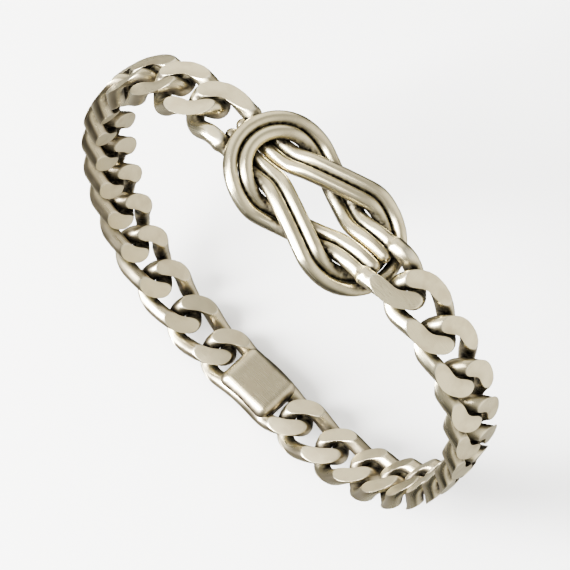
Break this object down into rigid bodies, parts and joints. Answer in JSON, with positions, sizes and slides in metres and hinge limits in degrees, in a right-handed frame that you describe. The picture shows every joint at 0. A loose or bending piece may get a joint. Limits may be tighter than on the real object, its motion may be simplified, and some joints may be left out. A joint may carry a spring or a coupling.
{
  "type": "knot bracelet",
  "caption": "Metal bracelet: a reef knot of doubled round wire, closed into a loop by a flat-ground curb chain and a plain clasp.",
  "frame": {"origin": "on the wrist's skin under the middle of the knot", "axes": "+Z off the back of the wrist, +Y along the forearm towards the hand, +X across the wrist; the chain hangs below, round the open wrist"},
  "size_m": [0.0646, 0.0144, 0.0633],
  "materials": {
    "silver": "warm sterling silver, polished and softly worn"
  },
  "bodies": {
    "root": {"knot_over_bight": "silver", "knot_under_bight": "silver", "curb_link_01": "silver", "curb_link_02": "silver", "curb_link_03": "silver", "curb_link_04": "silver", "curb_link_05": "silver", "curb_link_06": "silver", "curb_link_07": "silver", "curb_link_08": "silver", "curb_link_09": "silver", "curb_link_10": "silver", "curb_link_11": "silver", "curb_link_12": "silver", "clasp": "silver", "curb_link_13": "silver", "curb_link_14": "silver", "curb_link_15": "silver", "curb_link_16": "silver", "curb_link_17": "silver", "curb_link_18": "silver", "curb_link_19": "silver", "curb_link_20": "silver", "curb_link_21": "silver", "curb_link_22": "silver", "curb_link_23": "silver", "curb_link_24": "silver"}
  },
  "joints": []
}
